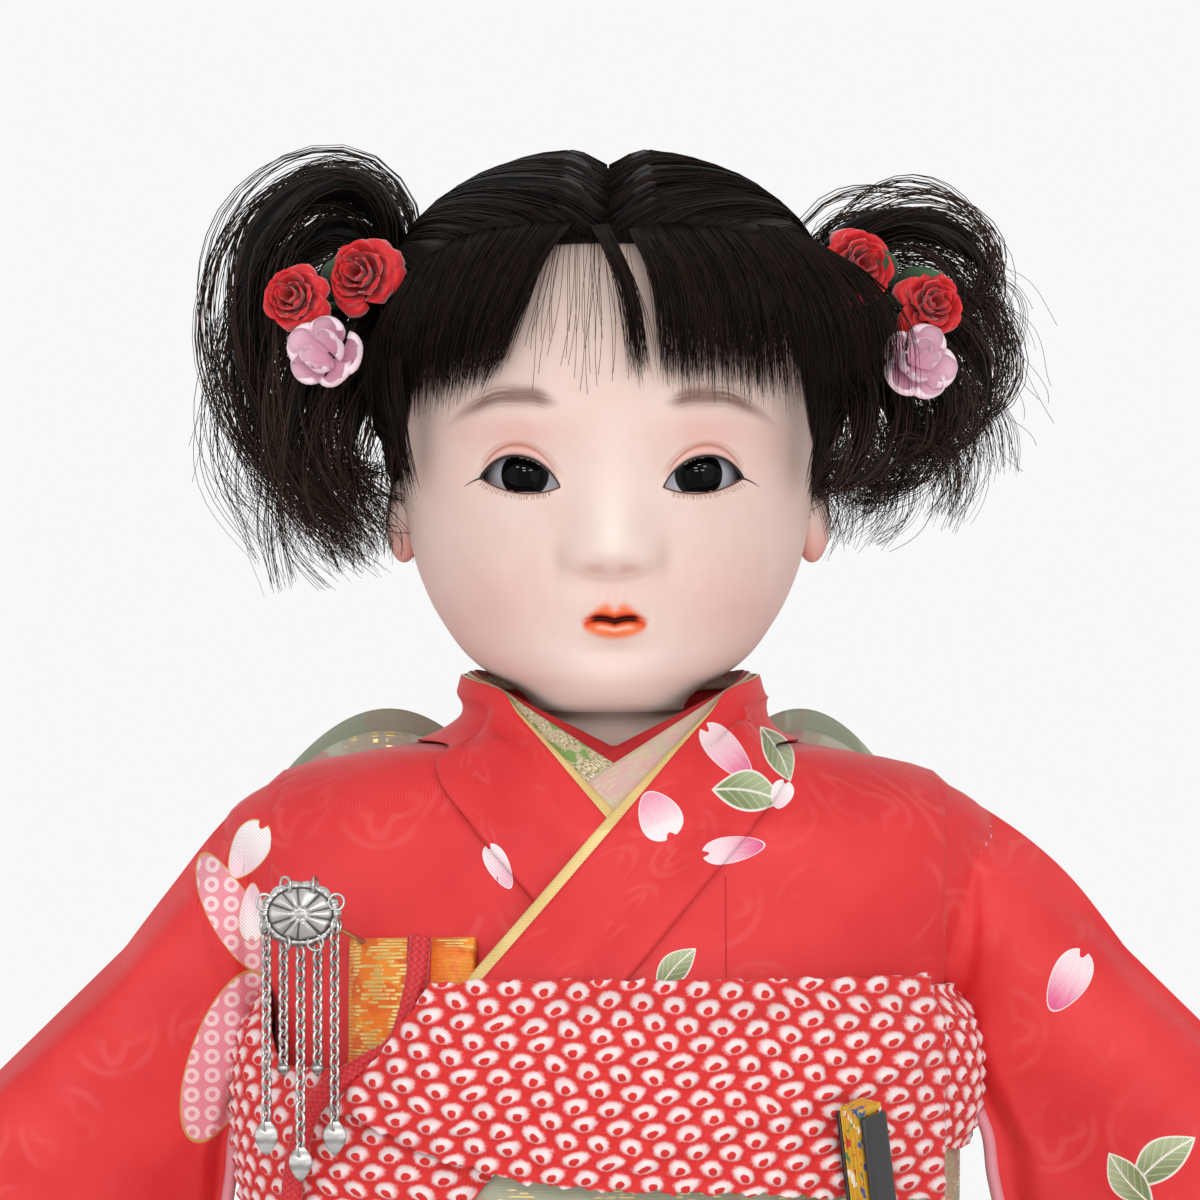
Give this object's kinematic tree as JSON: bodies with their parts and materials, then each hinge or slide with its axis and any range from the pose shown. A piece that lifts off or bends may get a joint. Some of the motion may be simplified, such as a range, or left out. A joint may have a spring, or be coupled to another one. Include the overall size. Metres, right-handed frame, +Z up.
{
  "type": "ichimatsu doll",
  "caption": "Standing ichimatsu doll in a long-sleeved kimono with obi, bow, chest purse and hair flowers, its head and arms turning, on a lacquered board.",
  "frame": {"origin": "middle of the board's underside", "axes": "+Z up, -Y the way the face looks, +X to the doll's left"},
  "size_m": [0.2948, 0.16, 0.4169],
  "materials": {
    "black_lacquer": "black lacquer, glossy",
    "plain_wood": "sanded wood",
    "bare_composition": "pressed composition, unpainted",
    "skin": "shell-white paint, matte, with blush",
    "tabi_white": "painted composition foot in white tabi",
    "wrapped_arm": "cloth-wrapped wire and padding",
    "glass_eye": "black glass, polished",
    "hair": "combed dark brown-black silk hair",
    "red_kimono": "red figured crepe",
    "pink_lining": "pink lining silk",
    "dark_red_cloth": "plain dark red cloth",
    "brocade": "gold and pink brocade",
    "gold_piping": "pale gold cloth",
    "obi_brocade": "pale green and crimson brocade",
    "shibori": "red and white tie-dyed silk",
    "gold_cord": "braided gold cord",
    "red_cord": "braided red cord",
    "orange_brocade": "orange brocade with gold thread",
    "silver_metal": "stamped and plated, polished",
    "fan_paper": "gold and cream fan paper",
    "fan_lacquer": "black lacquered stick",
    "zori_cover": "red covered sole and strap",
    "rose_silk": "red silk petals",
    "blossom_silk": "pink silk petals",
    "leaf_silk": "dark green silk leaf"
  },
  "bodies": {
    "doll_on_stand": {"display_board": "black_lacquer", "support_post": "plain_wood", "torso": "bare_composition", "kimono_skirt": "red_kimono", "under_kimono": "pink_lining", "kimono_bodice": "red_kimono", "red_collar": "dark_red_cloth", "brocade_collar": "brocade", "gold_collar": "gold_piping", "kimono_collar": "red_kimono", "obi": "obi_brocade", "obi_scarf": "shibori", "obi_scarf_flap": "shibori", "obi_cord": "gold_cord", "bow_right_loop": "obi_brocade", "bow_left_loop": "obi_brocade", "bow_knot": "obi_brocade", "bow_tail": "obi_brocade", "chest_purse": "orange_brocade", "ornament_plate": "silver_metal", "purse_cord": "red_cord", "purse_tassel": "red_cord", "right_thigh": "bare_composition", "right_lower_leg": "tabi_white", "right_zori": "zori_cover", "left_thigh": "bare_composition", "left_lower_leg": "tabi_white", "left_zori": "zori_cover"},
    "head": {"head": "skin", "wig_cap": "hair", "fringe": "hair", "right_eye": "glass_eye", "right_hair_tie": "hair", "right_pigtail": "hair", "right_upper_rose": "rose_silk", "right_lower_rose": "rose_silk", "right_blossom": "blossom_silk", "right_leaves": "leaf_silk", "left_eye": "glass_eye", "left_hair_tie": "hair", "left_pigtail": "hair", "left_upper_rose": "rose_silk", "left_lower_rose": "rose_silk", "left_blossom": "blossom_silk", "left_leaves": "leaf_silk"},
    "right_arm": {"right_upper_arm": "wrapped_arm", "right_forearm": "skin", "right_sleeve": "red_kimono"},
    "left_arm": {"left_upper_arm": "wrapped_arm", "left_forearm": "skin", "left_sleeve": "red_kimono"},
    "outer_chains": {"chain_1": "silver_metal", "chain_2": "silver_metal"},
    "middle_chain": {"chain_3": "silver_metal"},
    "inner_chains": {"chain_4": "silver_metal", "chain_5": "silver_metal"},
    "fan": {"fan_leaf": "fan_paper", "fan_front_guard": "fan_lacquer", "fan_back_guard": "fan_lacquer"}
  },
  "joints": [
    {"name": "head_turn", "type": "hinge", "parent": "doll_on_stand", "child": "head", "pos_m": [0, 0, 0.3], "axis": [0, 0, 1], "range_deg": [-12, 12]},
    {"name": "right_arm_swing", "type": "hinge", "parent": "doll_on_stand", "child": "right_arm", "pos_m": [-0.058, 0, 0.284], "axis": [-1, 0, 0], "range_deg": [-25, 60]},
    {"name": "left_arm_swing", "type": "hinge", "parent": "doll_on_stand", "child": "left_arm", "pos_m": [0.058, 0, 0.284], "axis": [-1, 0, 0], "range_deg": [-25, 60]},
    {"name": "outer_chains_swing", "type": "hinge", "parent": "doll_on_stand", "child": "outer_chains", "pos_m": [-0.0515, -0.044, 0.2805], "axis": [-1, 0, 0], "range_deg": [0, 30]},
    {"name": "middle_chain_swing", "type": "hinge", "parent": "doll_on_stand", "child": "middle_chain", "pos_m": [-0.0515, -0.044, 0.2795], "axis": [-1, 0, 0], "range_deg": [0, 30]},
    {"name": "inner_chains_swing", "type": "hinge", "parent": "doll_on_stand", "child": "inner_chains", "pos_m": [-0.0515, -0.044, 0.2805], "axis": [-1, 0, 0], "range_deg": [0, 30]},
    {"name": "fan_draw", "type": "slide", "parent": "doll_on_stand", "child": "fan", "axis": [-0.1278, -0.2735, 0.9534], "range_m": [0, 0.045]}
  ]
}
